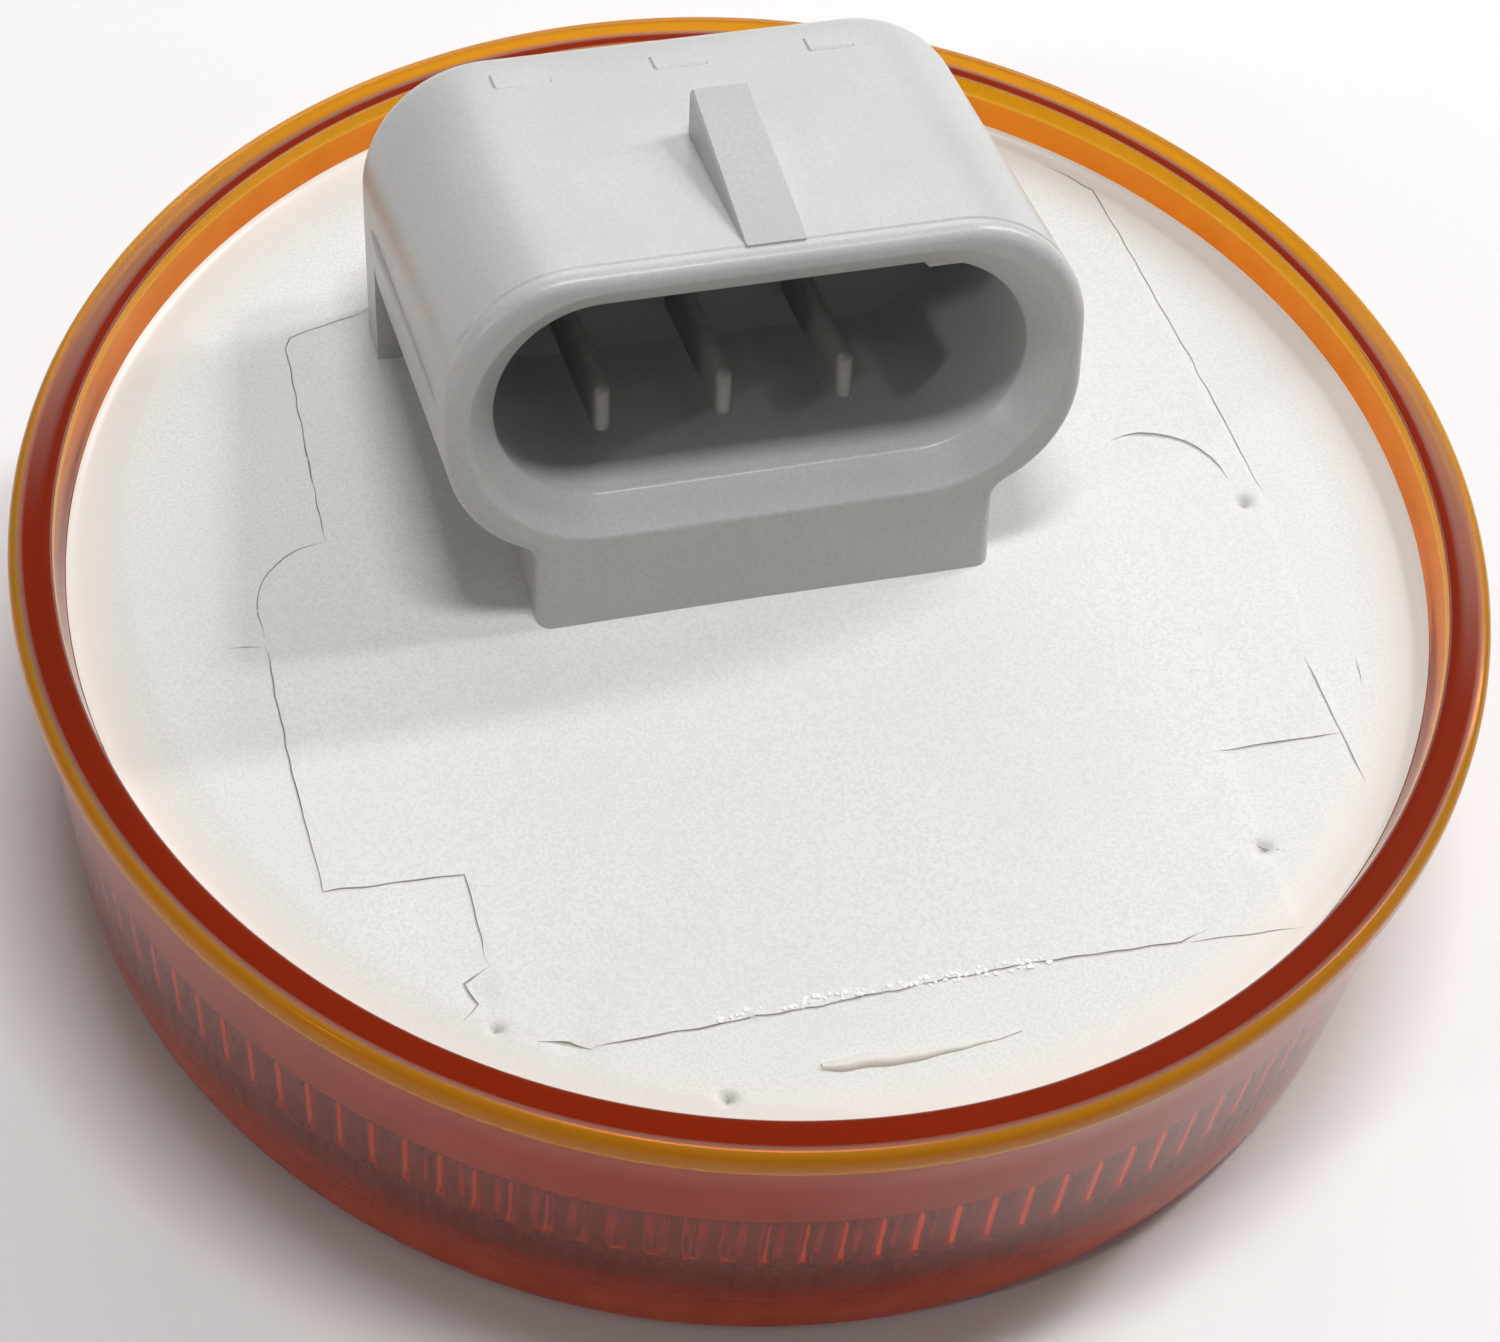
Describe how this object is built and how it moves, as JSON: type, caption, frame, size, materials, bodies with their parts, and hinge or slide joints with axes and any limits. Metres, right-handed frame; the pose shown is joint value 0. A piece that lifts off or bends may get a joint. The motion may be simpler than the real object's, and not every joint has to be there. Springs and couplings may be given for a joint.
{
  "type": "marker lamp",
  "caption": "Round sealed amber LED marker and turn lamp for a rubber grommet, lying on its lens, with a tilted oval plug socket on its white potted back.",
  "frame": {"origin": "centre of the lens face, which is the lowest point of the lamp as it lies on its lens", "axes": "+Z along the lamp's axis towards its back, +X across the socket, -Y the way the socket's mouth faces (it is tipped 14.3 degrees up towards +Z)"},
  "size_m": [0.0635, 0.0634, 0.0315],
  "materials": {
    "amber_lens": "moulded amber polycarbonate, polished",
    "grey_plastic": "moulded grey nylon, satin",
    "board_laminate": "glass-epoxy laminate with solder mask",
    "white_potting": "cast white epoxy, satin",
    "tinned_brass": "stamped, tin plated",
    "solder": "bright solder fillet",
    "tinned_copper": "tin plated",
    "led_window": "clear silicone filling",
    "black_package": "moulded epoxy",
    "tan_ceramic": "fired ceramic",
    "white_package": "moulded white package",
    "dark_ceramic": "ceramic chip with dark glaze"
  },
  "bodies": {
    "root": {"lens": "amber_lens", "socket_housing": "grey_plastic", "circuit_board": "board_laminate", "potting": "white_potting", "terminal_ground": "tinned_brass", "terminal_marker": "tinned_brass", "terminal_turn": "tinned_brass", "solder_joints": "solder", "board_pads": "tinned_copper", "regulator_leads": "tinned_copper", "led_windows": "led_window", "surge_suppressor": "black_package", "blocking_diode_marker": "black_package", "blocking_diode_turn": "black_package", "current_regulator_marker": "black_package", "current_regulator_turn": "black_package", "capacitor_marker": "tan_ceramic", "capacitor_turn": "tan_ceramic", "led_01": "white_package", "led_02": "white_package", "led_03": "white_package", "led_04": "white_package", "led_05": "white_package", "led_06": "white_package", "led_07": "white_package", "led_08": "white_package", "led_09": "white_package", "led_10": "white_package", "led_11": "white_package", "led_12": "white_package", "resistor_1": "dark_ceramic", "resistor_2": "dark_ceramic", "resistor_3": "dark_ceramic", "resistor_4": "dark_ceramic", "resistor_5": "dark_ceramic", "resistor_6": "dark_ceramic"}
  },
  "joints": []
}
